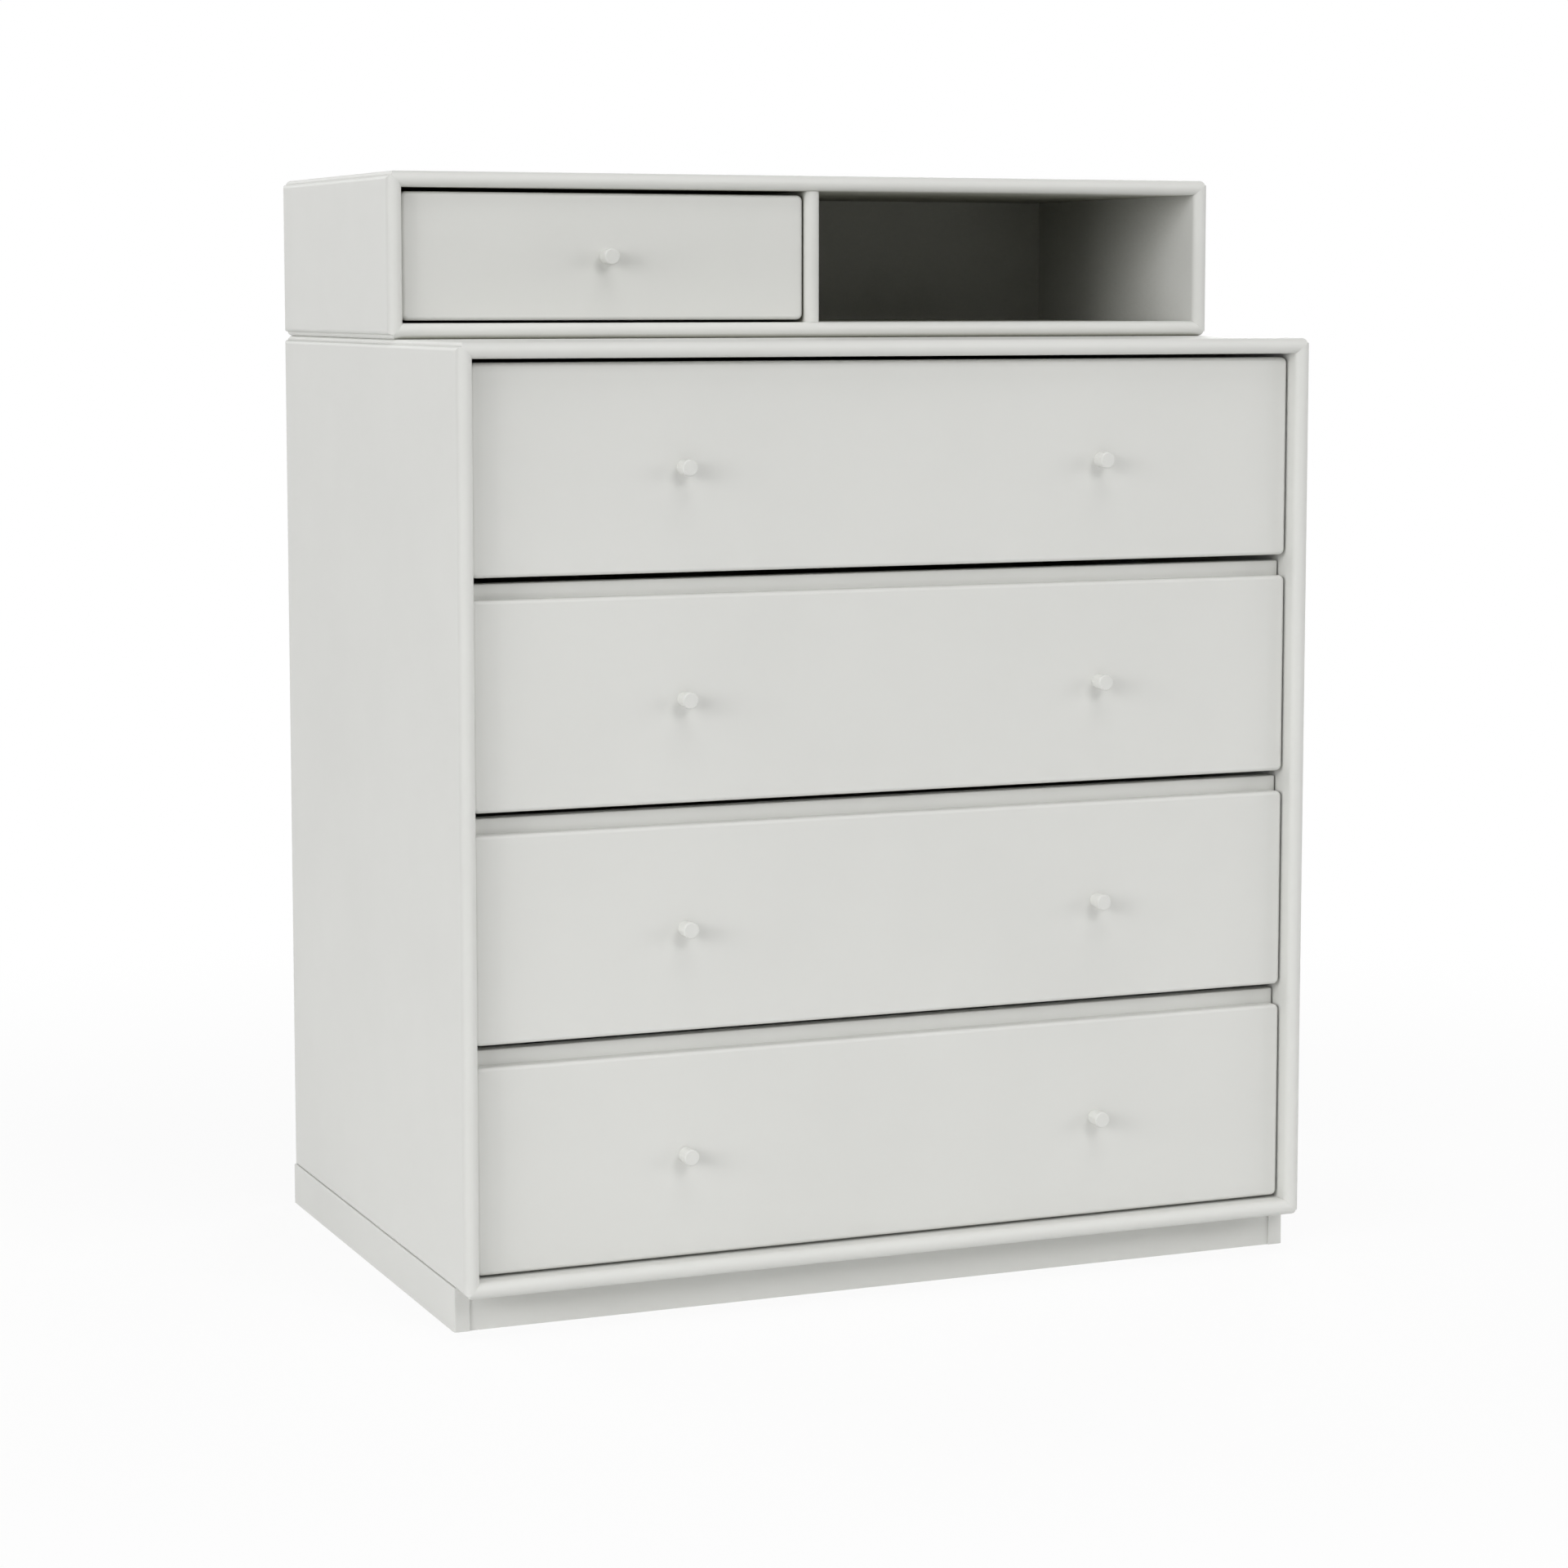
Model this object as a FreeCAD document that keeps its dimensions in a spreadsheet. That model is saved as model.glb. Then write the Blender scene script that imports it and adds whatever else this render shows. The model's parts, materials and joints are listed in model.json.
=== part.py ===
# Chest of drawers: two stacked carcasses on a plinth, five drawers, one open compartment.
# Millimetres, X to the right, Y to the back, Z up.
# The origin is the middle of the footprint, on the floor.

import FreeCAD, Part
import Sketcher
from collections import namedtuple
import math
import os
import re

V = FreeCAD.Vector

# Driving sizes. Each is written once here and kept in the sheet.
SIZES = {
    # Carcasses
    "width": 696,
    "panel": 12,
    "lower_height": 696,
    "lower_depth": 468,
    "upper_height": 126,
    "upper_depth": 300,
    "corner_round": 3,
    "corner_flat": 0.5,
    # Plinth
    "plinth_height": 30,
    "plinth_setback": 28.5,
    "front_rail_setback": 1.2,
    "back_rail_setback": 22,
    "lip_play": 0.2,
    "plinth_edge": 1.2,
    # Back panels, housed in grooves
    "back_thickness": 8,
    "back_inset": 6,
    "back_groove": 6,
    "back_play": 0.5,
    # Partition of the upper unit
    "partition_setback": 4.5,
    # Splines in the mitred corners
    "spline_thickness": 3,
    "spline_width": 8,
    "spline_play": 0.4,
    "spline_centre": 8.5,
    "spline_stop": 12,
    # Dowels
    "dowel_diameter": 6,
    "dowel_length": 18,
    "dowel_play": 0.1,
    "dowel_end_play": 0.4,
    "dowel_margin": 70,
    # Drawer fronts
    "lower_recess": 14,
    "upper_recess": 10,
    "front_thickness": 12,
    "front_side_gap": 1.3,
    "front_bottom_gap": 2.1,
    "front_top_gap": 3.1,
    "front_spacing": 16.4,
    "front_corner": 4.5,
    "front_edge": 3,
    # Inner fronts
    "inner_thickness": 12,
    "inner_corner": 1.5,
    "inner_edge": 1,
    "band_rise": 11.2,
    "inner_drop": 1.4,
    # Drawer boxes
    "box_side": 12,
    "box_rise": 4,
    "box_drop": 4.4,
    "box_edge": 1.5,
    "box_clearance": 16,
    "tongue_length": 6,
    "floor_thickness": 6,
    "floor_rise": 8,
    "floor_groove": 6,
    "floor_play": 0.5,
    "box_back": 12,
    "box_back_inset": 10,
    "dado_depth": 4,
    # Guide strips and their screws
    "guide_height": 14,
    "guide_groove": 6,
    "guide_play": 0.3,
    "guide_end_gap": 2,
    "screw_margin": 30,
    "screw_shank": 3.5,
    "screw_head": 7,
    "screw_head_height": 2,
    "screw_length": 14,
    "screw_play": 0.4,
    "screw_bore_play": 0.1,
    "socket_size": 2.5,
    "socket_depth": 1.2,
    # Knobs
    "knob_face": 12.4,
    "knob_base": 11,
    "knob_projection": 14,
    "knob_edge": 1.2,
    "tenon_diameter": 6,
    "tenon_length": 9.6,
    "tenon_play": 0.1,
}

# Places that follow from the driving sizes, in the chest's own frame
HALF_WIDTH = "(width / 2)"
INNER_X = "(width / 2 - panel)"
REAR = "(lower_depth / 2)"
BACK_FACE = "(lower_depth / 2 - back_inset - back_thickness)"
PLINTH_FRONT = "(plinth_setback - lower_depth / 2)"
FRONT_RAIL = f"({PLINTH_FRONT} + front_rail_setback)"
BACK_RAIL = f"({REAR} - back_rail_setback - panel)"
LOWER_BASE = "(plinth_height)"
LOWER_TOP = "(plinth_height + lower_height)"
UPPER_TOP = "(plinth_height + lower_height + upper_height)"
LOWER_FRONT = "(-lower_depth / 2)"
UPPER_FRONT = "(lower_depth / 2 - upper_depth)"
DOWEL_BORE = "(dowel_diameter + dowel_play)"
DOWEL_HOLE = "((dowel_length + dowel_end_play) / 2)"
DOWEL_FRONT_ROW = f"({UPPER_FRONT} + dowel_margin)"
DOWEL_BACK_ROW = f"({BACK_FACE} - dowel_margin)"
UNIT_DOWEL_X = f"({HALF_WIDTH} - dowel_margin)"
RAIL_DOWEL_X = f"({INNER_X} - dowel_margin)"

# Places in a drawer's frame: X from its middle, Y from the face of its front, Z from the front's foot
BOX_FRONT = "(front_thickness + inner_thickness)"
FLOOR_LEVEL = "(box_rise + floor_rise)"
STRIP = "(front_side_gap + guide_groove - guide_play)"
STRIP_START = f"({BOX_FRONT} + guide_play)"
HEAD_SEAT = "(screw_head_height + screw_play)"
SCREW_HOLE = f"(screw_length - {STRIP} + {HEAD_SEAT} + screw_play)"

Unit = namedtuple("Unit", "name front base top")
LOWER = Unit("lower", LOWER_FRONT, LOWER_BASE, LOWER_TOP)
UPPER = Unit("upper", UPPER_FRONT, LOWER_TOP, UPPER_TOP)

Drawer = namedtuple("Drawer", "name middle face foot half height inner_height length knobs")
LOWER_FRONT_HEIGHT = (
    "((lower_height - 2 * panel - front_bottom_gap - front_top_gap - 3 * front_spacing) / 4)")
UPPER_FRONT_HEIGHT = "(upper_height - 2 * panel - front_bottom_gap - front_top_gap)"
BEHIND_FRONT = f"({BOX_FRONT} + back_inset + back_thickness + box_clearance)"
KNOB_X = f"({INNER_X} / 2 + panel / 4)"

doc = FreeCAD.newDocument("chest_of_drawers")
sheet = doc.addObject("Spreadsheet::Sheet", "Sizes")
pieces = {}


def lower_drawer(number):
    """Drawer 1 is the top one of four. Its inner front stays lower than the front."""
    steps = 4 - number
    rise = "-inner_drop" if number == 1 else "band_rise"
    return Drawer(
        name=f"drawer_{number}",
        middle="0",
        face=f"({LOWER_FRONT} + lower_recess)",
        foot=f"({LOWER_BASE} + panel + front_bottom_gap + {steps} * ({LOWER_FRONT_HEIGHT} + front_spacing))",
        half=f"({INNER_X} - front_side_gap)",
        height=LOWER_FRONT_HEIGHT,
        inner_height=f"({LOWER_FRONT_HEIGHT} + {rise})",
        length=f"(lower_depth - lower_recess - {BEHIND_FRONT})",
        knobs=[f"-{KNOB_X}", KNOB_X])


def upper_drawer():
    """The small drawer fills the left half of the upper unit, up to the partition."""
    return Drawer(
        name="upper_drawer",
        middle=f"(-{INNER_X} / 2 - panel / 4)",
        face=f"({UPPER_FRONT} + upper_recess)",
        foot=f"({LOWER_TOP} + panel + front_bottom_gap)",
        half=f"({INNER_X} / 2 - panel / 4 - front_side_gap)",
        height=UPPER_FRONT_HEIGHT,
        inner_height=f"({UPPER_FRONT_HEIGHT} - inner_drop)",
        length=f"(upper_depth - upper_recess - {BEHIND_FRONT})",
        knobs=["0"])


LOWER_DRAWERS = [lower_drawer(number) for number in (1, 2, 3, 4)]
UPPER_DRAWER = upper_drawer()


# Drawing tools

def fill_sheet():
    for row, (name, size) in enumerate(SIZES.items(), start=1):
        sheet.set(f"A{row}", name)
        sheet.set(f"B{row}", str(size))
        sheet.setAlias(f"B{row}", name)
    doc.recompute()


def bound(text):
    """The expression with every size name pointing into the sheet."""
    return re.sub(r"\b[a-z][a-z_]*\b(?!\()", lambda found: "Sizes." + found.group(0), text)


def value(text):
    return float(sheet.evalExpression(bound(text)))


def negative(text):
    return f"-({text})"


def bind_place(item, across, back, up):
    for axis, text in (("x", across), ("y", back), ("z", up)):
        item.setExpression(f".Placement.Base.{axis}", bound(text))


def rectangle(left, low, right, high):
    return [(left, low), (right, low), (right, high), (left, high)]


def rounded_rectangle(left, low, right, high, radius):
    """A corner with four entries starts an arc and holds the arc's centre."""
    in_left = f"({left} + {radius})"
    in_right = f"({right} - {radius})"
    in_low = f"({low} + {radius})"
    in_high = f"({high} - {radius})"
    return [
        (left, in_low, in_left, in_low),
        (in_left, low),
        (in_right, low, in_right, in_low),
        (right, in_low),
        (right, in_high, in_right, in_high),
        (in_right, high),
        (in_left, high, in_left, in_high),
        (left, in_high),
    ]


class Piece:
    """A solid made of padded and pocketed sketches. Flip turns every X to the other side."""

    ORIGIN_PLANES = {"XY": "XY_Plane", "XZ": "XZ_Plane", "YZ": "YZ_Plane"}

    def __init__(self, label, flip=False):
        self.flip = flip
        self.body = doc.addObject("PartDesign::Body", label)
        self.body.Label = label

    def new_sketch(self, plane, start):
        """A sketch across one axis, at the given place along it."""
        if plane == "YZ" and self.flip:
            start = negative(start)
        if plane == "XZ":
            start = negative(start)
        role = self.ORIGIN_PLANES[plane]
        support = [item for item in self.body.Origin.OriginFeatures if item.Role == role][0]
        sketch = self.body.newObject("Sketcher::SketchObject", self.body.Name + "_sketch")
        sketch.AttachmentSupport = [(support, "")]
        sketch.MapMode = "FlatFace"
        sketch.setExpression(".AttachmentOffset.Base.z", bound(start))
        return sketch

    def tie(self, sketch, kind, text, *where):
        number = sketch.addConstraint(Sketcher.Constraint(kind, *where, value(text)))
        sketch.setExpression(f"Constraints[{number}]", bound(text))

    def turned(self, plane, corner):
        """The corner on the other side, where the piece is flipped and the sketch spans X."""
        if plane == "YZ" or not self.flip:
            return corner
        return tuple(negative(text) if i % 2 == 0 else text for i, text in enumerate(corner))

    def draw_outline(self, sketch, plane, corners):
        corners = [self.turned(plane, corner) for corner in corners]
        points = [V(value(corner[0]), value(corner[1]), 0) for corner in corners]
        following = points[1:] + points[:1]
        area = sum(a.x * b.y - b.x * a.y for a, b in zip(points, following))
        edges = [self.draw_edge(sketch, corner, start, end, area)
                 for corner, start, end in zip(corners, points, following)]
        for (edge, first, last), (next_edge, next_first, _), corner, start, end in zip(
                edges, edges[1:] + edges[:1], corners, points, following):
            sketch.addConstraint(Sketcher.Constraint("Coincident", edge, last, next_edge, next_first))
            self.tie(sketch, "DistanceX", corner[0], -1, 1, edge, first)
            self.tie(sketch, "DistanceY", corner[1], -1, 1, edge, first)
            if len(corner) == 4 and abs(end.y - start.y) >= abs(end.x - start.x):
                self.tie(sketch, "DistanceX", corner[2], -1, 1, edge, 3)
            elif len(corner) == 4:
                self.tie(sketch, "DistanceY", corner[3], -1, 1, edge, 3)

    def draw_edge(self, sketch, corner, start, end, area):
        """Adds a line or an arc, and tells which of its points is first and which is last."""
        if len(corner) == 2:
            return sketch.addGeometry(Part.LineSegment(start, end), False), 1, 2
        centre = V(value(corner[2]), value(corner[3]), 0)
        turn = (start - centre).cross(end - centre).z
        if abs(turn) < 1e-6:
            turn = area
        circle = Part.Circle(centre, V(0, 0, 1), start.distanceToPoint(centre))
        from_angle = math.atan2(start.y - centre.y, start.x - centre.x)
        to_angle = math.atan2(end.y - centre.y, end.x - centre.x)
        if turn > 0:
            return sketch.addGeometry(Part.ArcOfCircle(circle, from_angle, to_angle), False), 1, 2
        return sketch.addGeometry(Part.ArcOfCircle(circle, to_angle, from_angle), False), 2, 1

    def draw_circle(self, sketch, plane, centre, diameter):
        across, up = self.turned(plane, centre)
        circle = Part.Circle(V(value(across), value(up), 0), V(0, 0, 1), value(diameter) / 2)
        number = sketch.addGeometry(circle, False)
        self.tie(sketch, "DistanceX", across, -1, 1, number, 3)
        self.tie(sketch, "DistanceY", up, -1, 1, number, 3)
        self.tie(sketch, "Diameter", diameter, number)

    def add_feature(self, kind, sketch, plane, length):
        """A pad or pocket that runs from the sketch towards the higher coordinate."""
        feature = self.body.newObject(f"PartDesign::{kind}", f"{self.body.Name}_{kind}")
        feature.Profile = sketch
        feature.setExpression("Length", bound(length))
        turned_round = plane == "XZ" or (plane == "YZ" and self.flip)
        feature.Reversed = turned_round == (kind == "Pad")
        doc.recompute()

    def pad(self, plane, start, length, outline):
        sketch = self.new_sketch(plane, start)
        self.draw_outline(sketch, plane, outline)
        self.add_feature("Pad", sketch, plane, length)

    def pad_circle(self, plane, start, length, centre, diameter):
        sketch = self.new_sketch(plane, start)
        self.draw_circle(sketch, plane, centre, diameter)
        self.add_feature("Pad", sketch, plane, length)

    def pocket(self, plane, start, length, *outlines):
        sketch = self.new_sketch(plane, start)
        for outline in outlines:
            self.draw_outline(sketch, plane, outline)
        self.cut_away(sketch, plane, length)

    def bore(self, plane, start, length, diameter, *centres):
        sketch = self.new_sketch(plane, start)
        for centre in centres:
            self.draw_circle(sketch, plane, centre, diameter)
        self.cut_away(sketch, plane, length)

    def cut_away(self, sketch, plane, length):
        before = self.body.Shape.Volume
        self.add_feature("Pocket", sketch, plane, length)
        if self.body.Shape.Volume > before - 0.01:
            raise RuntimeError(f"{self.body.Label}: a pocket removed nothing")

    def round_edges(self, radius, wanted):
        """Rounds the edges of the shape so far whose bounding box passes the test."""
        base = self.body.Tip
        names = [f"Edge{i}" for i, edge in enumerate(base.Shape.Edges, start=1) if wanted(edge.BoundBox)]
        fillet = self.body.newObject("PartDesign::Fillet", f"{self.body.Name}_Fillet")
        fillet.Base = (base, names)
        fillet.setExpression("Radius", bound(radius))
        doc.recompute()

    def keep(self):
        pieces[self.body.Label] = self.body
        return self.body


def place_in_drawer(body, drawer):
    bind_place(body, drawer.middle, drawer.face, drawer.foot)


def copies(name, master, places):
    """Links to one small piece. Each place is X, Y, Z and a turn in degrees about an axis."""
    links = []
    for across, back, up, axis, angle in places:
        link = doc.addObject("App::Link", f"{name}_copy")
        link.LinkedObject = master
        link.Placement = FreeCAD.Placement(V(0, 0, 0), FreeCAD.Rotation(axis, angle))
        bind_place(link, across, back, up)
        links.append(link)
    return links


def group(name, members):
    """Identical small pieces share one file and stay separate solids."""
    compound = doc.addObject("Part::Compound", name)
    compound.Label = name
    compound.Links = members
    doc.recompute()
    pieces[name] = compound


# Carcass panels

def corner_waste(upright, side, sign, level):
    """What comes off a panel's end, leaving the mitre, a small flat and the outer round.
    Side is -1 left and +1 right; sign is +1 where the level is a top and -1 where it is a base."""
    def spot(along, through):
        """Along the panel from its end, and through it from its outer face."""
        in_x, in_z = (through, along) if upright else (along, through)
        return f"{side} * ({HALF_WIDTH} - ({in_x}))", f"{level} - {sign} * ({in_z})"

    round_start = "2 * corner_round + corner_flat"
    notch = "corner_round + corner_flat"
    return [
        spot(round_start, "0") + spot(round_start, "corner_round"),
        spot(notch, "corner_round"),
        spot(notch, notch),
        spot("panel", "panel"),
        spot("panel", "2 * panel"),
        spot("-panel", "2 * panel"),
        spot("-panel", "-panel"),
        spot(round_start, "-panel"),
    ]


def spline_outline(side, sign, level, width):
    """A slim rectangle across the mitre, turned by 45 degrees."""
    def spot(along, across):
        in_x = f"(spline_centre + ({along} + {across}) * sqrt(0.5))"
        in_z = f"(spline_centre + ({along} - {across}) * sqrt(0.5))"
        return f"{side} * ({HALF_WIDTH} - {in_x})", f"{level} - {sign} * {in_z}"

    half = "spline_thickness / 2"
    reach = f"{width} / 2"
    return [spot(f"-{half}", f"-{reach}"), spot(half, f"-{reach}"), spot(half, reach), spot(f"-{half}", reach)]


def spline_run(unit):
    """Where the splines of a unit start, and how long they are."""
    start = f"({unit.front} + spline_stop)"
    return start, f"({BACK_FACE} - spline_stop - {start})"


def cut_spline_slots(piece, unit, corners):
    start, length = spline_run(unit)
    piece.pocket("XZ", start, length,
                 *[spline_outline(side, sign, level, "(spline_width + spline_play)")
                   for side, sign, level in corners])


def screw_spots(drawer):
    """Y and Z of a guide strip's three screws, in the chest's frame."""
    height = f"{drawer.foot} + {guide_level(drawer)}"
    return [(f"{drawer.face} + {place}", height) for place in screw_places(drawer)]


def side_panel(label, unit, flip, drawers):
    """Upright board with full rounds front and back, mitred at both ends."""
    outer = f"-{HALF_WIDTH}"
    inner = f"-{INNER_X}"
    middle = f"({outer} + panel / 2)"
    front = f"({unit.front} + panel / 2)"
    rear = f"({REAR} - panel / 2)"
    piece = Piece(label, flip)
    piece.pad("XY", unit.base, f"{unit.top} - {unit.base}", [
        (outer, front, middle, front),
        (inner, front),
        (inner, rear, middle, rear),
        (outer, rear),
    ])
    piece.pocket("XZ", "-lower_depth", "2 * lower_depth",
                 corner_waste(True, -1, 1, unit.top), corner_waste(True, -1, -1, unit.base))
    piece.pocket("XY", f"{unit.base} - panel", f"{unit.top} - {unit.base} + 2 * panel",
                 rectangle(f"{inner} - back_groove", BACK_FACE, f"{inner} + panel", f"{BACK_FACE} + back_thickness"))
    cut_spline_slots(piece, unit, [(-1, 1, unit.top), (-1, -1, unit.base)])
    holes = [spot for drawer in drawers for spot in screw_spots(drawer)]
    if holes:
        piece.bore("YZ", f"{inner} - {SCREW_HOLE}", SCREW_HOLE, "(screw_shank + screw_bore_play)", *holes)
    piece.keep()


def level_panel(label, unit, sign):
    """Top panel (sign +1) or bottom panel (sign -1) with the same rounds and mitres."""
    low = f"({unit.top} - panel)" if sign > 0 else unit.base
    level = unit.top if sign > 0 else unit.base
    inner_face = low if sign > 0 else f"({low} + panel)"
    front = f"({unit.front} + panel / 2)"
    rear = f"({REAR} - panel / 2)"
    middle = f"({low} + panel / 2)"
    piece = Piece(label)
    piece.pad("YZ", f"-{HALF_WIDTH}", "width", [
        (front, low),
        (rear, low, rear, middle),
        (rear, f"{low} + panel"),
        (front, f"{low} + panel", front, middle),
    ])
    piece.pocket("XZ", "-lower_depth", "2 * lower_depth",
                 corner_waste(False, -1, sign, level), corner_waste(False, 1, sign, level))
    groove_low = f"{inner_face} - panel" if sign > 0 else f"{inner_face} - back_groove"
    piece.pocket("YZ", f"-{HALF_WIDTH} - panel", "width + 2 * panel",
                 rectangle(BACK_FACE, groove_low, f"{BACK_FACE} + back_thickness",
                           f"{groove_low} + panel + back_groove"))
    cut_spline_slots(piece, unit, [(-1, sign, level), (1, sign, level)])
    return piece


def unit_dowel_spots():
    return [(across, back) for across in (f"-{UNIT_DOWEL_X}", UNIT_DOWEL_X)
            for back in (DOWEL_FRONT_ROW, DOWEL_BACK_ROW)]


def partition_dowel_spots():
    return [("0", DOWEL_FRONT_ROW), ("0", DOWEL_BACK_ROW)]


def rail_dowel_spots():
    return [(across, f"{rail} + panel / 2") for across in (f"-{RAIL_DOWEL_X}", RAIL_DOWEL_X)
            for rail in (FRONT_RAIL, BACK_RAIL)]


def carcass_panels():
    for flip, hand in ((False, "left"), (True, "right")):
        side_panel(f"lower_{hand}_side", LOWER, flip, LOWER_DRAWERS)
        side_panel(f"upper_{hand}_side", UPPER, flip, [] if flip else [UPPER_DRAWER])
    lower_top = level_panel("lower_top_panel", LOWER, 1)
    lower_top.bore("XY", f"{LOWER_TOP} - {DOWEL_HOLE}", DOWEL_HOLE, DOWEL_BORE, *unit_dowel_spots())
    lower_top.keep()
    lower_bottom = level_panel("lower_bottom_panel", LOWER, -1)
    lower_bottom.bore("XY", LOWER_BASE, DOWEL_HOLE, DOWEL_BORE, *rail_dowel_spots())
    lower_bottom.keep()
    upper_top = level_panel("upper_top_panel", UPPER, 1)
    upper_top.bore("XY", f"{UPPER_TOP} - panel", DOWEL_HOLE, DOWEL_BORE, *partition_dowel_spots())
    upper_top.keep()
    upper_bottom = level_panel("upper_bottom_panel", UPPER, -1)
    upper_bottom.bore("XY", LOWER_TOP, DOWEL_HOLE, DOWEL_BORE, *unit_dowel_spots())
    upper_bottom.bore("XY", f"{LOWER_TOP} + panel - {DOWEL_HOLE}", DOWEL_HOLE, DOWEL_BORE,
                      *partition_dowel_spots())
    upper_bottom.keep()


def back_panel(unit):
    """Stands in the groove of the bottom panel, with a little play at the sides and top."""
    reach = f"({INNER_X} + back_groove - back_play)"
    piece = Piece(f"{unit.name}_back_panel")
    piece.pad("XZ", BACK_FACE, "back_thickness",
              rectangle(f"-{reach}", f"{unit.base} + panel - back_groove",
                        reach, f"{unit.top} - panel + back_groove - back_play"))
    piece.keep()


def partition():
    """Stands between the upper unit's top and bottom panels, rounded at its front edge."""
    front = f"({UPPER_FRONT} + partition_setback + panel / 2)"
    low = f"({LOWER_TOP} + panel)"
    high = f"({UPPER_TOP} - panel)"
    piece = Piece("upper_partition")
    piece.pad("XY", low, f"{high} - {low}", [
        ("-panel / 2", front, "0", front),
        ("panel / 2", front),
        ("panel / 2", BACK_FACE),
        ("-panel / 2", BACK_FACE),
    ])
    piece.bore("XY", low, DOWEL_HOLE, DOWEL_BORE, *partition_dowel_spots())
    piece.bore("XY", f"{high} - {DOWEL_HOLE}", DOWEL_HOLE, DOWEL_BORE, *partition_dowel_spots())
    piece.bore("YZ", "-panel / 2", SCREW_HOLE, "(screw_shank + screw_bore_play)", *screw_spots(UPPER_DRAWER))
    piece.keep()


# Plinth

def plinth():
    """Each side board has a lip along its outer edge, which stands in the notch of the carcass corner,
    and a cove beside the lip, which follows the round of the bottom panel."""
    rail_spots = [(f"{rail} + panel / 2", "plinth_height / 2") for rail in (FRONT_RAIL, BACK_RAIL)]
    lip = "(corner_round + corner_flat - lip_play)"
    lip_top = f"(plinth_height + {lip})"
    cove_reach = "sqrt(lip_play * (2 * corner_round + lip_play))"
    outer = f"-{HALF_WIDTH}"
    inner = f"-{INNER_X}"
    bend_x = f"({outer} + plinth_edge)"
    bend_y = f"({PLINTH_FRONT} + plinth_edge)"
    bend_z = f"({lip_top} - plinth_edge)"
    cove_x = f"({outer} + 2 * corner_round + corner_flat)"
    cove_z = "(plinth_height + corner_round)"
    for flip, hand in ((False, "left"), (True, "right")):
        board = Piece(f"plinth_{hand}_board", flip)
        board.pad("XY", "0", "plinth_height + panel", [
            (outer, REAR),
            (outer, bend_y, bend_x, bend_y),
            (bend_x, PLINTH_FRONT),
            (inner, PLINTH_FRONT),
            (inner, REAR),
        ])
        board.pocket("XZ", "-lower_depth", "2 * lower_depth", [
            (f"{outer} - panel", bend_z),
            (outer, bend_z, bend_x, bend_z),
            (bend_x, lip_top),
            (f"{outer} + {lip}", lip_top),
            (f"{outer} + {lip}", cove_z, cove_x, cove_z),
            (f"{cove_x} - {cove_reach}", "plinth_height"),
            (f"{inner} + panel", "plinth_height"),
            (f"{inner} + panel", "plinth_height + 2 * panel"),
            (f"{outer} - panel", "plinth_height + 2 * panel"),
        ])
        board.bore("YZ", f"{inner} - {DOWEL_HOLE}", DOWEL_HOLE, DOWEL_BORE, *rail_spots)
        board.keep()
    for hand, face in (("front", FRONT_RAIL), ("back", BACK_RAIL)):
        rail = Piece(f"plinth_{hand}_rail")
        middle = f"{face} + panel / 2"
        rail.pad("XY", "0", "plinth_height", rectangle(f"-{INNER_X}", face, INNER_X, f"{face} + panel"))
        rail.bore("YZ", f"-{INNER_X}", DOWEL_HOLE, DOWEL_BORE, (middle, "plinth_height / 2"))
        rail.bore("YZ", f"{INNER_X} - {DOWEL_HOLE}", DOWEL_HOLE, DOWEL_BORE, (middle, "plinth_height / 2"))
        rail.bore("XY", f"plinth_height - {DOWEL_HOLE}", DOWEL_HOLE, DOWEL_BORE,
                  (f"-{RAIL_DOWEL_X}", middle), (RAIL_DOWEL_X, middle))
        rail.keep()


# Joinery

def corner_splines():
    members = []
    for unit in (LOWER, UPPER):
        start, length = spline_run(unit)
        for side in (-1, 1):
            for sign, level in ((1, unit.top), (-1, unit.base)):
                spline = Piece(f"{unit.name}_spline")
                spline.pad("XZ", start, length, spline_outline(side, sign, level, "spline_width"))
                members.append(spline.body)
    group("corner_splines", members)


def dowels():
    master = doc.addObject("Part::Cylinder", "dowel")
    master.setExpression("Radius", bound("dowel_diameter / 2"))
    master.setExpression("Height", bound("dowel_length"))
    upright = (V(0, 0, 1), 0)
    lying = (V(0, 1, 0), 90)
    places = []
    for spots, joint in ((rail_dowel_spots(), LOWER_BASE), (unit_dowel_spots(), LOWER_TOP),
                         (partition_dowel_spots(), f"{LOWER_TOP} + panel"),
                         (partition_dowel_spots(), f"{UPPER_TOP} - panel")):
        places += [(across, back, f"{joint} - {DOWEL_HOLE}", *upright) for across, back in spots]
    for face in (FRONT_RAIL, BACK_RAIL):
        for joint in (f"-{INNER_X}", INNER_X):
            places.append((f"{joint} - {DOWEL_HOLE}", f"{face} + panel / 2", "plinth_height / 2", *lying))
    group("dowels", copies("dowel", master, places))


# Guide strips

def guide_level(drawer):
    """Height of the strip's middle, half way up the box side."""
    return f"((box_rise + {drawer.height} - box_drop) / 2)"


def strip_end(drawer):
    return f"({BOX_FRONT} + {drawer.length} + box_clearance - guide_end_gap)"


def screw_places(drawer):
    first = f"({STRIP_START} + screw_margin)"
    last = f"({strip_end(drawer)} - screw_margin)"
    return [first, f"(({first} + {last}) / 2)", last]


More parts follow.
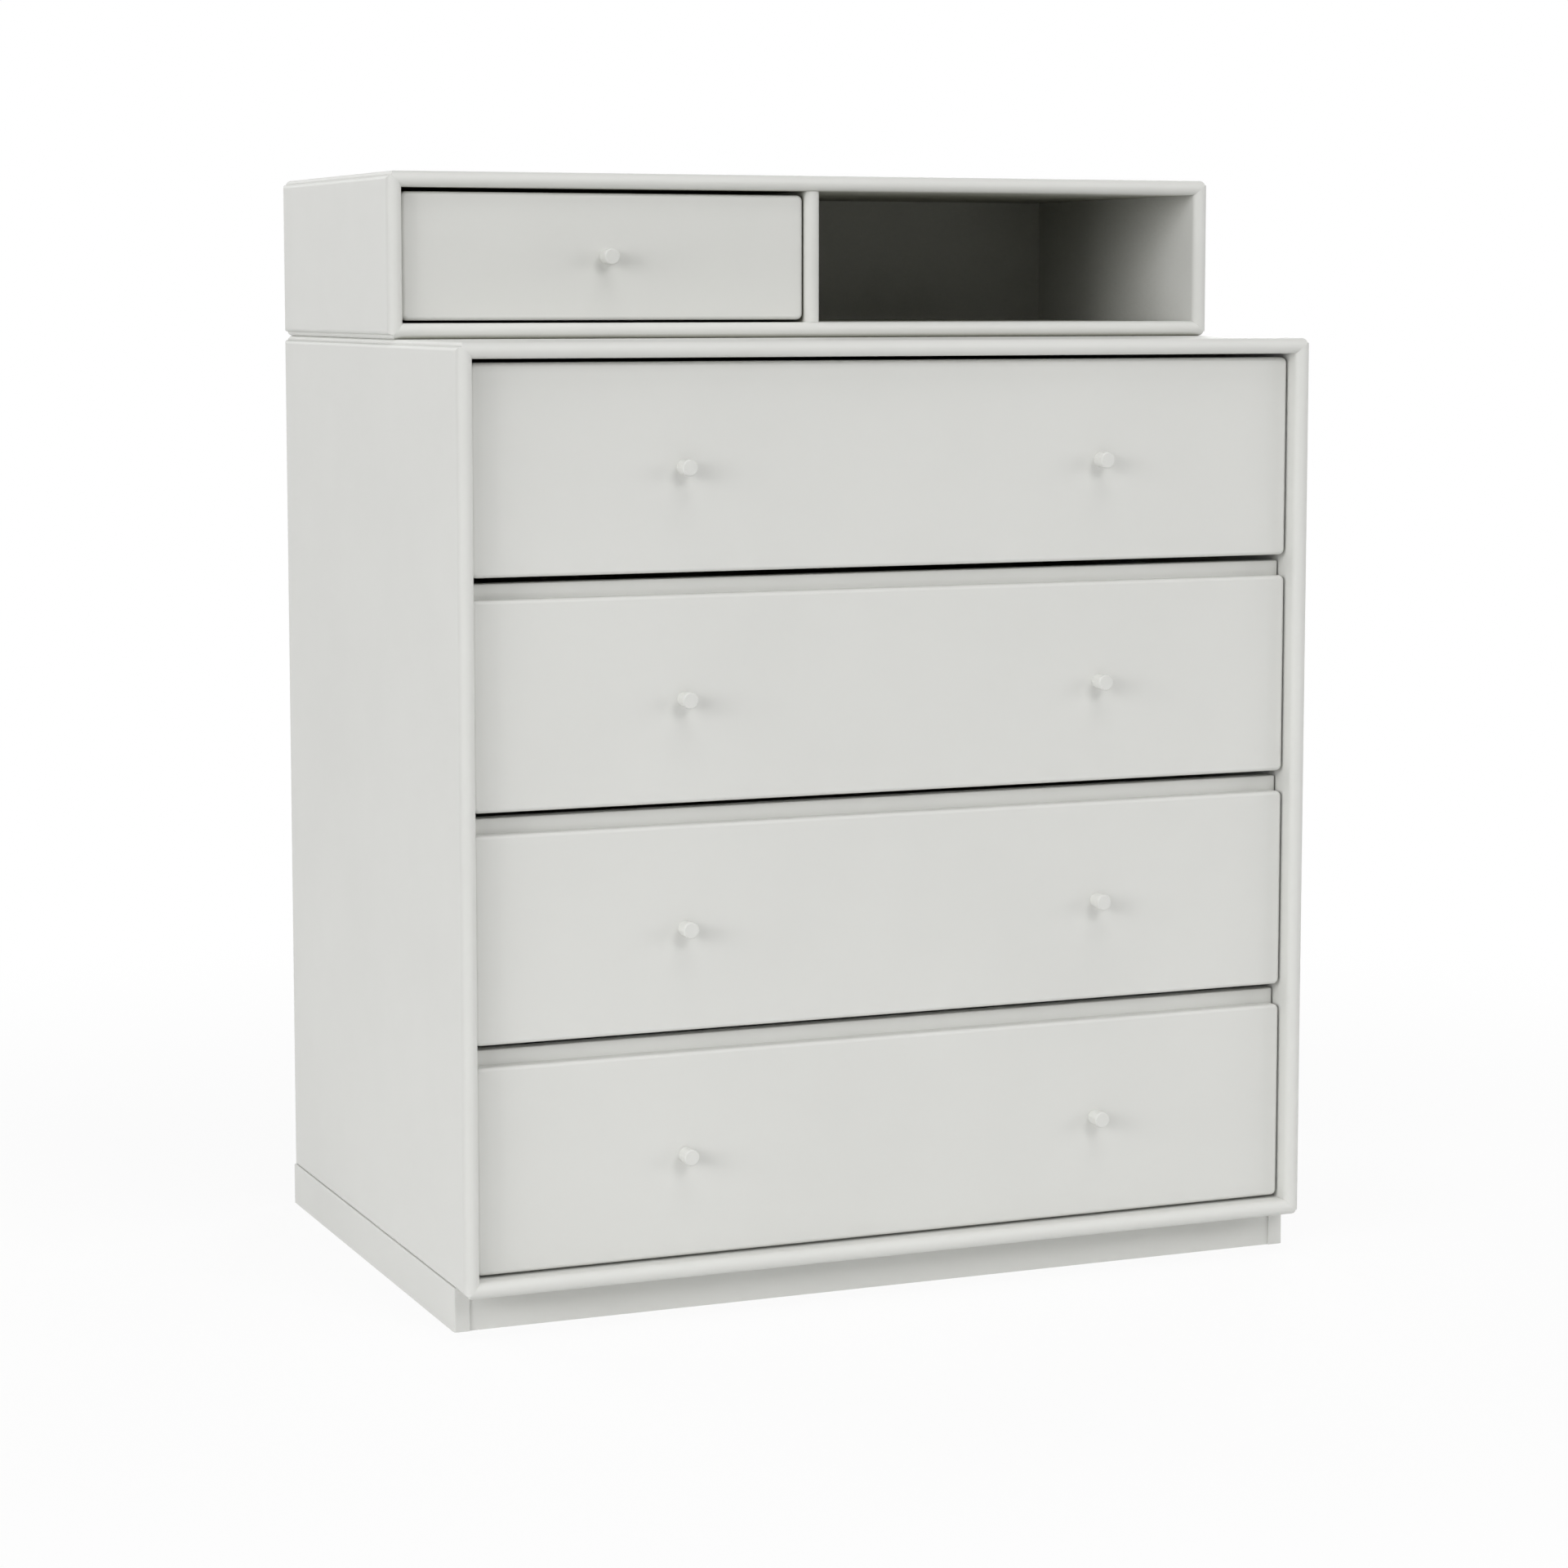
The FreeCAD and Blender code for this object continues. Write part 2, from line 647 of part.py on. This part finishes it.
def guide_strip(drawer, flip):
    wall = f"(-{drawer.half} - front_side_gap)"
    level = guide_level(drawer)
    spots = [(place, level) for place in screw_places(drawer)]
    piece = Piece(f"{drawer.name}_guide", flip)
    piece.pad("XZ", STRIP_START, f"{strip_end(drawer)} - {STRIP_START}",
              rectangle(wall, f"{level} - guide_height / 2", f"{wall} + {STRIP}", f"{level} + guide_height / 2"))
    piece.bore("YZ", f"{wall} - panel", f"{STRIP} + panel", "(screw_shank + screw_play)", *spots)
    piece.bore("YZ", f"{wall} + {STRIP} - {HEAD_SEAT}", f"{HEAD_SEAT} + panel", "(screw_head + screw_play)", *spots)
    place_in_drawer(piece.body, drawer)
    return piece.body


def guide_strips():
    group("lower_guide_strips", [guide_strip(drawer, flip) for drawer in LOWER_DRAWERS for flip in (False, True)])
    group("upper_guide_strips", [guide_strip(UPPER_DRAWER, flip) for flip in (False, True)])


def screw_body():
    """Points towards +X, with the seat of its head at the origin."""
    piece = Piece("screw")
    piece.pad_circle("YZ", "-screw_head_height", "screw_head_height", ("0", "0"), "screw_head")
    piece.pad_circle("YZ", "0", "screw_length", ("0", "0"), "screw_shank")
    hexagon = [(f"{math.cos(math.radians(60 * i)):.6f} * socket_size / sqrt(3)",
                f"{math.sin(math.radians(60 * i)):.6f} * socket_size / sqrt(3)") for i in range(6)]
    piece.pocket("YZ", "-screw_head_height", "socket_depth", hexagon)
    return piece.body


def guide_screws():
    master = screw_body()
    places = []
    for drawer in LOWER_DRAWERS + [UPPER_DRAWER]:
        seat = f"({drawer.half} + front_side_gap - {STRIP} + {HEAD_SEAT})"
        for back, up in screw_spots(drawer):
            places.append((f"{drawer.middle} - {seat}", back, up, V(0, 0, 1), 180))
            places.append((f"{drawer.middle} + {seat}", back, up, V(0, 0, 1), 0))
    group("guide_screws", copies("screw", master, places))


# Drawers

def drawer_front(drawer):
    """Front board with a rounded face, bored for the tenons of its knobs."""
    piece = Piece(f"{drawer.name}_front")
    piece.pad("XZ", "0", "front_thickness",
              rounded_rectangle(f"-{drawer.half}", "0", drawer.half, drawer.height, "front_corner"))
    piece.round_edges("front_edge", lambda box: box.YMax < 0.001)
    piece.bore("XZ", "-panel", "panel + tenon_length + tenon_play", "(tenon_diameter + tenon_play)",
               *[(across, f"{drawer.height} / 2") for across in drawer.knobs])
    place_in_drawer(piece.body, drawer)
    piece.keep()


def inner_front(drawer):
    """Front wall of the box, as wide as the front. The sides' tongues and the floor enter its back."""
    face = value("front_thickness")
    back = value(BOX_FRONT)
    piece = Piece(f"{drawer.name}_inner_front")
    piece.pad("XZ", "front_thickness", "inner_thickness",
              rounded_rectangle(f"-{drawer.half}", "0", drawer.half, drawer.inner_height, "inner_corner"))
    piece.round_edges("inner_edge", lambda box: box.YMax < face + 0.001 or box.YMin > back - 0.001)
    start = f"{BOX_FRONT} - tongue_length"
    length = "tongue_length + panel"
    inner = f"({drawer.half} - box_side)"
    outer = f"({drawer.half} - guide_groove)"
    top = f"{drawer.height} - box_drop"
    piece.pocket("XZ", start, length,
                 rectangle(f"-{outer}", "box_rise", f"-{inner}", top), rectangle(inner, "box_rise", outer, top))
    piece.pocket("XZ", start, length,
                 rectangle(f"-{outer}", FLOOR_LEVEL, outer, f"{FLOOR_LEVEL} + floor_thickness"))
    place_in_drawer(piece.body, drawer)
    piece.keep()


def back_board_face(drawer):
    return f"({BOX_FRONT} + {drawer.length} - box_back_inset - box_back)"


def box_side(drawer, hand, flip):
    """Side board with a tongue in front, a dado for the back board and two long grooves."""
    outer = f"-{drawer.half}"
    step = f"({outer} + guide_groove)"
    inner = f"({outer} + box_side)"
    dado = f"({inner} - dado_depth)"
    dado_start = back_board_face(drawer)
    dado_end = f"({dado_start} + box_back)"
    end = f"({BOX_FRONT} + {drawer.length})"
    top = f"({drawer.height} - box_drop)"
    level = guide_level(drawer)
    reach = "(guide_height / 2 + guide_play)"
    piece = Piece(f"{drawer.name}_{hand}_side", flip)
    piece.pad("XY", "box_rise", f"{top} - box_rise", [
        (step, f"{BOX_FRONT} - tongue_length"),
        (inner, f"{BOX_FRONT} - tongue_length"),
        (inner, dado_start),
        (dado, dado_start),
        (dado, dado_end),
        (inner, dado_end),
        (inner, end),
        (outer, end),
        (outer, BOX_FRONT),
        (step, BOX_FRONT),
    ])
    long_enough = value("box_side")
    top_height = value(top)
    piece.round_edges("box_edge", lambda box: box.ZMin > top_height - 0.001 and box.YLength > long_enough)
    piece.pocket("XZ", "0", end,
                 rectangle(f"{outer} - panel", f"{level} - {reach}", step, f"{level} + {reach}"),
                 rectangle(f"{inner} - floor_groove", FLOOR_LEVEL, f"{inner} + panel",
                           f"{FLOOR_LEVEL} + floor_thickness"))
    place_in_drawer(piece.body, drawer)
    piece.keep()


def box_back_board(drawer):
    """Stands on the drawer's floor, between the sides."""
    reach = f"({drawer.half} - box_side + dado_depth)"
    piece = Piece(f"{drawer.name}_back")
    piece.pad("XZ", back_board_face(drawer), "box_back",
              rectangle(f"-{reach}", f"{FLOOR_LEVEL} + floor_thickness", reach, f"{drawer.height} - box_drop"))
    place_in_drawer(piece.body, drawer)
    piece.keep()


def box_floor(drawer):
    reach = f"({drawer.half} - box_side + floor_groove - floor_play)"
    start = f"({BOX_FRONT} - tongue_length + floor_play)"
    piece = Piece(f"{drawer.name}_floor")
    piece.pad("XY", FLOOR_LEVEL, "floor_thickness",
              rectangle(f"-{reach}", start, reach, f"{back_board_face(drawer)} + box_back"))
    place_in_drawer(piece.body, drawer)
    piece.keep()


def knob_body():
    """Turned knob with its tenon, on the Y axis, its shoulder at the origin and its face towards -Y."""
    face = "(knob_face / 2)"
    rim = "(knob_edge - knob_projection)"
    piece = Piece("knob")
    sketch = piece.new_sketch("XY", "0")
    piece.draw_outline(sketch, "XY", [
        ("0", "tenon_length"),
        ("0", "-knob_projection"),
        (f"{face} - knob_edge", "-knob_projection", f"{face} - knob_edge", rim),
        (face, rim),
        ("knob_base / 2", "0"),
        ("tenon_diameter / 2", "0"),
        ("tenon_diameter / 2", "tenon_length"),
    ])
    turning = piece.body.newObject("PartDesign::Revolution", "knob_Revolution")
    turning.Profile = sketch
    turning.ReferenceAxis = (sketch, ["V_Axis"])
    turning.Angle = 360
    doc.recompute()
    return piece.body


def drawer_knobs(drawer, master):
    name = f"{drawer.name}_knobs" if len(drawer.knobs) > 1 else f"{drawer.name}_knob"
    places = [(f"{drawer.middle} + {across}", drawer.face, f"{drawer.foot} + {drawer.height} / 2", V(0, 0, 1), 0)
              for across in drawer.knobs]
    group(name, copies(name, master, places))


def drawers():
    master = knob_body()
    for drawer in LOWER_DRAWERS + [UPPER_DRAWER]:
        drawer_front(drawer)
        inner_front(drawer)
        box_side(drawer, "left", False)
        box_side(drawer, "right", True)
        box_back_board(drawer)
        box_floor(drawer)
        drawer_knobs(drawer, master)


# Checking and writing

def check_document():
    doc.recompute()
    for item in doc.Objects:
        if "Invalid" in item.State or "Error" in item.State:
            raise RuntimeError(f"{item.Label} failed: {item.State}")
    for name, item in pieces.items():
        shape = item.Shape
        if shape.isNull() or not shape.isValid() or not shape.Solids:
            raise RuntimeError(f"{name} has no valid solid")


def write_parts():
    os.makedirs("parts", exist_ok=True)
    for name, item in pieces.items():
        item.Shape.exportStep(f"parts/{name}.step")


fill_sheet()
carcass_panels()
back_panel(LOWER)
back_panel(UPPER)
partition()
plinth()
corner_splines()
dowels()
guide_strips()
guide_screws()
drawers()
check_document()
write_parts()
print(len(pieces), "nodes,", sum(len(item.Shape.Solids) for item in pieces.values()), "solids")
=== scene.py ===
import json
import math

import bpy
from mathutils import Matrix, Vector

# Camera, as fitted to the photograph: place and sight in metres, down and turn in degrees, lens and
# sensor in millimetres, and the shift as a share of the frame
CAMERA_PLACE = (-1.1778, -2.8315, 0.7591)
CAMERA_DOWN = 5.842
CAMERA_TURN = 22.586
LENS = 87.62
SENSOR = 36.0
SHIFT_UP = -0.0627
SIGHT = 200

# Colours, linear
LACQUER = (0.673, 0.675, 0.650)
BIRCH_LIGHT = (0.70, 0.54, 0.37)
BIRCH_DARK = (0.58, 0.42, 0.27)
BEECH_LIGHT = (0.62, 0.42, 0.27)
BEECH_DARK = (0.50, 0.31, 0.19)
FLECK = (0.7, 0.62, 0.55)
STEEL = (0.60, 0.60, 0.61)
WHITE = (1.0, 1.0, 1.0)

# Lacquer. Here and below, a scale is in patches to a metre, a height in metres, and a range is the
# stretch of the noise over which a colour changes.
CLOUD_SCALE = 7.0
CLOUD_RANGE = (0.3, 0.7)
CLOUD_TINT = 0.015
HAZE_SCALE = 45.0
PEEL_SCALE = 900.0
PEEL_STRENGTH = 0.05
PEEL_HEIGHT = 0.0002
LACQUER_ROUGHNESS = (0.48, 0.58)
LACQUER_SPECULAR = 0.3

# Open compartment, with shade painted into its colour: the nodes that enclose it, the painted shade
# colour on its deepest faces, how far it reaches in metres, and the openness at which it starts and
# ends
OPEN_UNIT = ("upper_left_side", "upper_right_side", "upper_top_panel", "upper_bottom_panel",
             "upper_partition", "upper_back_panel")
# Painted shade: this colour is multiplied into the lacquer where faces are enclosed, standing in
# for shade
PAINTED_DEEP_SHADE = (0.42, 0.42, 0.36)
PAINTED_SHADE_REACH = 0.25
PAINTED_SHADE_RANGE = (0.05, 0.32)
PAINTED_SHADE_SAMPLES = 16

# Wood: the grain runs along the axis whose stretch is 1
PLYWOOD = {"light": BIRCH_LIGHT, "dark": BIRCH_DARK, "stretch": (1.0, 12.0, 12.0),
           "fleck_scale": 90.0, "roughness": 0.45}
BEECH = {"light": BEECH_LIGHT, "dark": BEECH_DARK, "stretch": (12.0, 1.0, 12.0),
         "fleck_scale": 120.0, "roughness": 0.35}
STREAK_SCALE = 14.0
STREAK_RANGE = (0.35, 0.65)
FLECK_RANGE = (0.36, 0.5)
FLECK_SHARE = 0.35
ROUGHNESS_STEP = 0.15
GRAIN_STRENGTH = 0.15
GRAIN_HEIGHT = 0.0003

# Screws
SCUFF_SCALE = 900.0
STEEL_ROUGHNESS = (0.25, 0.45)

# Studio, in metres: the chest's middle, at which most lamps point, and the floor, whose paper and
# glow ease from one level to another with the distance from its middle
MIDDLE = (0, 0, 0.4)
FLOOR_SIZE = 60
FLOOR_ROUGHNESS = 0.9
PAPER = {"near": 1.6, "far": 3.2, "at_near": 0.85, "at_far": 0.1}
GLOW = {"near": 0.6, "far": 1.6, "at_near": 0.9, "at_far": 1.0}

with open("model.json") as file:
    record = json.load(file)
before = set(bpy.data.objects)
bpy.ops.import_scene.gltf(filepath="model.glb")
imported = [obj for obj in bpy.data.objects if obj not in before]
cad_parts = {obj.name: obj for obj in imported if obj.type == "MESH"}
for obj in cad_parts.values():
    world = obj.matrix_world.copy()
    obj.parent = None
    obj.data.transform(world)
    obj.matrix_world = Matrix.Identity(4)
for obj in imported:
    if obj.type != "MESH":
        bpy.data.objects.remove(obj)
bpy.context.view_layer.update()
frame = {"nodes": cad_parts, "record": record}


# Material tools

def new_material(name):
    material = bpy.data.materials.new(name)
    material.use_nodes = True
    tree = material.node_tree
    return material, tree, tree.nodes["Principled BSDF"]


def add(tree, kind, **settings):
    """A new node. Each setting goes to the input of that name, or else to the property."""
    node = tree.nodes.new(kind)
    for name, setting in settings.items():
        if name in node.inputs:
            node.inputs[name].default_value = setting
        else:
            setattr(node, name, setting)
    return node


def noise(tree, scale, detail=3.0, stretch=(1, 1, 1)):
    """Noise in object coordinates, so in metres. Stretch above 1 makes it finer along that axis."""
    place = add(tree, "ShaderNodeTexCoord")
    mapping = add(tree, "ShaderNodeMapping")
    mapping.inputs["Scale"].default_value = stretch
    texture = add(tree, "ShaderNodeTexNoise", Scale=scale, Detail=detail)
    tree.links.new(place.outputs["Object"], mapping.inputs["Vector"])
    tree.links.new(mapping.outputs["Vector"], texture.inputs["Vector"])
    return texture.outputs["Fac"]


def ramp(tree, source, low, high, start, end):
    """Maps a value to a colour between two, from start to end."""
    node = add(tree, "ShaderNodeValToRGB")
    node.color_ramp.elements[0].position = start
    node.color_ramp.elements[1].position = end
    node.color_ramp.elements[0].color = (*low, 1)
    node.color_ramp.elements[1].color = (*high, 1)
    tree.links.new(source, node.inputs["Fac"])
    return node.outputs["Color"]


def spread(tree, source, low, high):
    """Maps 0 to 1 on to low to high."""
    node = add(tree, "ShaderNodeMapRange")
    node.inputs["To Min"].default_value = low
    node.inputs["To Max"].default_value = high
    tree.links.new(source, node.inputs["Value"])
    return node.outputs["Result"]


def emboss(tree, shader, height, strength, distance):
    """Bumps the shader's surface by a height."""
    bump = add(tree, "ShaderNodeBump", Strength=strength, Distance=distance)
    tree.links.new(height, bump.inputs["Height"])
    tree.links.new(bump.outputs["Normal"], shader.inputs["Normal"])


# Materials

def lacquer(name, paint_shade=None):
    """Satin sprayed lacquer: fine orange peel, faint waves in the sheen, a trace of drift in the
    colour, and, where a painter is given, painted shade in the colour."""
    material, tree, shader = new_material(name)
    cloud = noise(tree, CLOUD_SCALE, detail=4.0)
    low = [channel * (1 - CLOUD_TINT) for channel in LACQUER]
    high = [channel * (1 + CLOUD_TINT) for channel in LACQUER]
    colour = ramp(tree, cloud, low, high, *CLOUD_RANGE)
    # Where given, painted shade is multiplied into the base colour
    if paint_shade:
        colour = paint_shade(tree, colour)
    tree.links.new(colour, shader.inputs["Base Color"])
    shader.inputs["Specular IOR Level"].default_value = LACQUER_SPECULAR
    haze = noise(tree, HAZE_SCALE)
    tree.links.new(spread(tree, haze, *LACQUER_ROUGHNESS), shader.inputs["Roughness"])
    emboss(tree, shader, noise(tree, PEEL_SCALE, detail=2.0), PEEL_STRENGTH, PEEL_HEIGHT)
    return material


def paint_deep_shade(tree, colour):
    """Painted shade: darkens the colour of the faces deep inside the open compartment by their
    occlusion, standing in for the shade where little light enters.
    """
    occlusion = add(tree, "ShaderNodeAmbientOcclusion", samples=PAINTED_SHADE_SAMPLES, Distance=PAINTED_SHADE_REACH)
    painted_shade = ramp(tree, occlusion.outputs["AO"], PAINTED_DEEP_SHADE, WHITE, *PAINTED_SHADE_RANGE)
    product = add(tree, "ShaderNodeVectorMath", operation="MULTIPLY")
    tree.links.new(colour, product.inputs[0])
    tree.links.new(painted_shade, product.inputs[1])
    return product.outputs["Vector"]


def timber(name, light, dark, stretch, fleck_scale, roughness):
    """Close-grained wood: long streaks along the board and short darker flecks."""
    material, tree, shader = new_material(name)
    streaks = noise(tree, STREAK_SCALE, detail=6.0, stretch=stretch)
    flecks = noise(tree, fleck_scale, detail=2.0, stretch=stretch)
    base = ramp(tree, streaks, dark, light, *STREAK_RANGE)
    marks = ramp(tree, flecks, FLECK, WHITE, *FLECK_RANGE)
    grain = add(tree, "ShaderNodeMix", data_type="RGBA", blend_type="MULTIPLY")
    grain.inputs["Factor"].default_value = FLECK_SHARE
    tree.links.new(base, grain.inputs["A"])
    tree.links.new(marks, grain.inputs["B"])
    tree.links.new(grain.outputs["Result"], shader.inputs["Base Color"])
    sheen = spread(tree, streaks, roughness, roughness + ROUGHNESS_STEP)
    tree.links.new(sheen, shader.inputs["Roughness"])
    emboss(tree, shader, flecks, GRAIN_STRENGTH, GRAIN_HEIGHT)
    return material


def screw_steel():
    """Bright steel with fine scuffs in its gloss."""
    material, tree, shader = new_material("screw_steel")
    shader.inputs["Base Color"].default_value = (*STEEL, 1)
    shader.inputs["Metallic"].default_value = 1.0
    scuff = noise(tree, SCUFF_SCALE)
    tree.links.new(spread(tree, scuff, *STEEL_ROUGHNESS), shader.inputs["Roughness"])
    return material


def dress():
    """Each node takes the material of its slot in the record, and the open unit a lacquer with
    painted shade.
    """
    materials = {
        "lacquer": lacquer("lacquer"),
        "box_lacquer": lacquer("box_lacquer"),
        "knob_lacquer": lacquer("knob_lacquer"),
        "plywood": timber("plywood", **PLYWOOD),
        "beech": timber("beech", **BEECH),
        "screw_steel": screw_steel(),
    }
    # The open unit's lacquer has shade painted into its colour deep inside the compartment
    painted_shade_lacquer = lacquer("open_unit_painted_shade_lacquer", paint_deep_shade)
    slots = {entry["node"]: entry["material_slot"] for entry in frame["record"]["subparts"]}
    for name, node in frame["nodes"].items():
        node.data.materials.clear()
        node.data.materials.append(painted_shade_lacquer if name in OPEN_UNIT else materials[slots[name]])


# Studio

def seen_directly(tree):
    """1 for camera, glossy and transmission rays, which see the backdrop, and 0 for the rest."""
    path = add(tree, "ShaderNodeLightPath")
    seen = path.outputs["Is Camera Ray"]
    for ray in ("Is Glossy Ray", "Is Transmission Ray"):
        either = add(tree, "ShaderNodeMath", operation="MAXIMUM")
        tree.links.new(seen, either.inputs[0])
        tree.links.new(path.outputs[ray], either.inputs[1])
        seen = either.outputs[0]
    return seen


def backdrop():
    """A plain white world for the eye. The lamps alone light the chest."""
    world = bpy.data.worlds.new("studio")
    bpy.context.scene.world = world
    world.use_nodes = True
    tree = world.node_tree
    shown = tree.nodes["Background"]
    shown.inputs["Color"].default_value = (*WHITE, 1)
    tree.links.new(seen_directly(tree), shown.inputs["Strength"])


def by_distance(tree, near, far, at_near, at_far):
    """Eases from one value to another with the distance from the middle of the floor."""
    place = add(tree, "ShaderNodeTexCoord")
    length = add(tree, "ShaderNodeVectorMath", operation="LENGTH")
    tree.links.new(place.outputs["Object"], length.inputs[0])
    fade = add(tree, "ShaderNodeMapRange", interpolation_type="SMOOTHSTEP")
    levels = {"From Min": near, "From Max": far, "To Min": at_near, "To Max": at_far}
    for name, level in levels.items():
        fade.inputs[name].default_value = level
    tree.links.new(length.outputs["Value"], fade.inputs["Value"])
    return fade.outputs["Result"]


def floor():
    """White sheet of paper about the chest on a dark floor. It shows as the backdrop does, apart
    from a trace of the chest's shadow."""
    bpy.ops.mesh.primitive_plane_add(size=FLOOR_SIZE, location=(0, 0, 0))
    plane = bpy.context.object
    plane.name = "studio_floor"
    material, tree, shader = new_material("studio_floor")
    tree.links.new(by_distance(tree, **PAPER), shader.inputs["Base Color"])
    shader.inputs["Roughness"].default_value = FLOOR_ROUGHNESS
    glow = add(tree, "ShaderNodeEmission", Color=(*WHITE, 1), Strength=1.0)
    mix = add(tree, "ShaderNodeMixShader")
    level = add(tree, "ShaderNodeMath", operation="MULTIPLY")
    tree.links.new(by_distance(tree, **GLOW), level.inputs[0])
    tree.links.new(seen_directly(tree), level.inputs[1])
    tree.links.new(level.outputs[0], mix.inputs["Fac"])
    tree.links.new(shader.outputs[0], mix.inputs[1])
    tree.links.new(glow.outputs[0], mix.inputs[2])
    tree.links.new(mix.outputs[0], tree.nodes["Material Output"].inputs["Surface"])
    plane.data.materials.append(material)


def softbox(name, place, target, size, power):
    """A rectangular lamp turned to its target: width and height in metres, power in watts."""
    light = bpy.data.lights.new(name, "AREA")
    light.shape = "RECTANGLE"
    light.size, light.size_y = size
    light.energy = power
    lamp = bpy.data.objects.new(name, light)
    lamp.location = place
    lamp.rotation_euler = (Vector(target) - Vector(place)).to_track_quat("-Z", "Y").to_euler()
    lamp.visible_camera = False
    bpy.context.scene.collection.objects.link(lamp)


def about(turn, rise, distance):
    """A place about the chest's middle: degrees from the front to the right, degrees up, metres."""
    turn, rise = math.radians(turn), math.radians(rise)
    flat = distance * math.cos(rise)
    return flat * math.sin(turn), -flat * math.cos(turn), MIDDLE[2] + distance * math.sin(rise)


def lights():
    """Large softboxes all round, so that no side is dark, and a low one in front for the plinth."""
    softbox("key_left", about(turn=-52, rise=20, distance=6), MIDDLE, size=(3.0, 3.0), power=76)
    softbox("key_right", about(turn=15, rise=32, distance=6), MIDDLE, size=(2.2, 2.2), power=92)
    softbox("low_left", about(turn=-70, rise=10, distance=5), MIDDLE, size=(2.0, 2.0), power=81)
    softbox("low_right", about(turn=60, rise=12, distance=6), MIDDLE, size=(3.0, 3.0), power=83)
    softbox("overhead", place=(0, -1.2, 4.2), target=(0, -0.3, 0), size=(2.4, 2.4), power=54)
    softbox("low_front", place=(-0.3, -1.5, 0.15), target=(0, -0.2, 0.10), size=(2.4, 0.25),
            power=1.5)
    softbox("behind_left", about(turn=-150, rise=25, distance=6), MIDDLE, size=(3.0, 3.0),
            power=110)
    softbox("behind_right", about(turn=140, rise=25, distance=6), MIDDLE, size=(3.0, 3.0),
            power=110)


def camera():
    """The photograph's view, a little down and to the right."""
    data = bpy.data.cameras.new("camera")
    data.sensor_fit = "HORIZONTAL"
    data.sensor_width = SENSOR
    data.lens = LENS
    data.shift_y = SHIFT_UP
    data.clip_end = SIGHT
    eye = bpy.data.objects.new("camera", data)
    eye.location = CAMERA_PLACE
    eye.rotation_euler = (math.radians(90 - CAMERA_DOWN), 0, math.radians(-CAMERA_TURN))
    bpy.context.scene.collection.objects.link(eye)
    bpy.context.scene.camera = eye


dress()
backdrop()
floor()
lights()
camera()
bpy.context.scene.view_settings.view_transform = "Standard"
